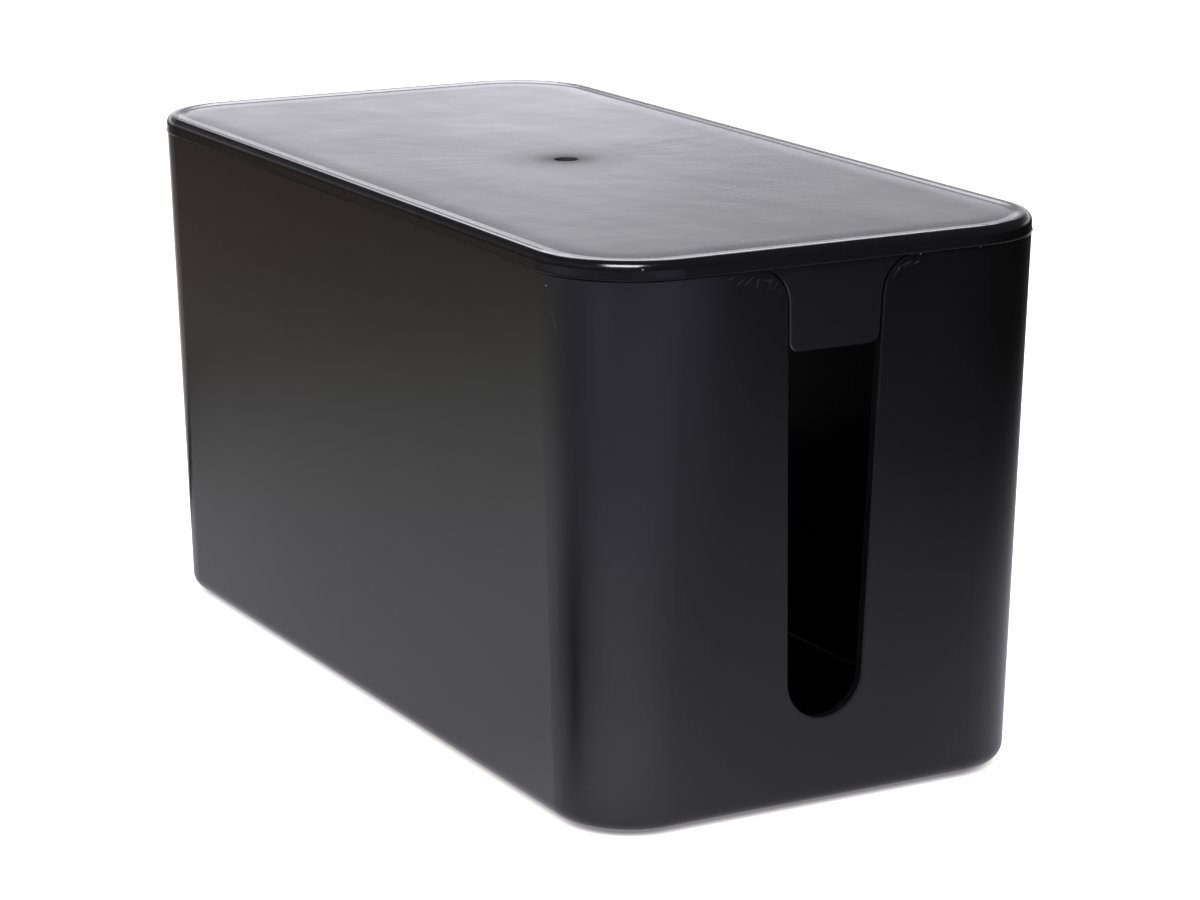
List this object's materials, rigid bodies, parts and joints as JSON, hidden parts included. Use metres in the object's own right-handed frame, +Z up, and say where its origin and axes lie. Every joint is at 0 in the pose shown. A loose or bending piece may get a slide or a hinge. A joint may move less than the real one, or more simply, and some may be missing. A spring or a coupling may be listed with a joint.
{
  "type": "cable management box",
  "caption": "Black lidded box that hides a power strip: drafted walls, a tapered round-ended cord slot in each end, a dished lift-off lid with closing tongues, and rubber feet.",
  "frame": {"origin": "middle of the box's footprint, on the surface that its feet stand on", "axes": "+X along the box's length towards one slotted end, +Y across its width, +Z up, the way the lid lifts off"},
  "size_m": [0.235, 0.1164, 0.1218],
  "materials": {
    "tub_plastic": "satin black moulded plastic with a fine grain",
    "lid_plastic": "satin black moulded plastic with a fine grain, glossier than the tub at a low angle",
    "foot_rubber": "matt black rubber"
  },
  "bodies": {
    "tub": {"base_tub": "tub_plastic", "foot_front_left": "foot_rubber", "foot_front_right": "foot_rubber", "foot_back_left": "foot_rubber", "foot_back_right": "foot_rubber"},
    "lid": {"lid": "lid_plastic"}
  },
  "joints": [
    {"name": "lid_lift", "type": "slide", "parent": "tub", "child": "lid", "axis": [0, 0, 1], "range_m": [0, 0.12]}
  ]
}
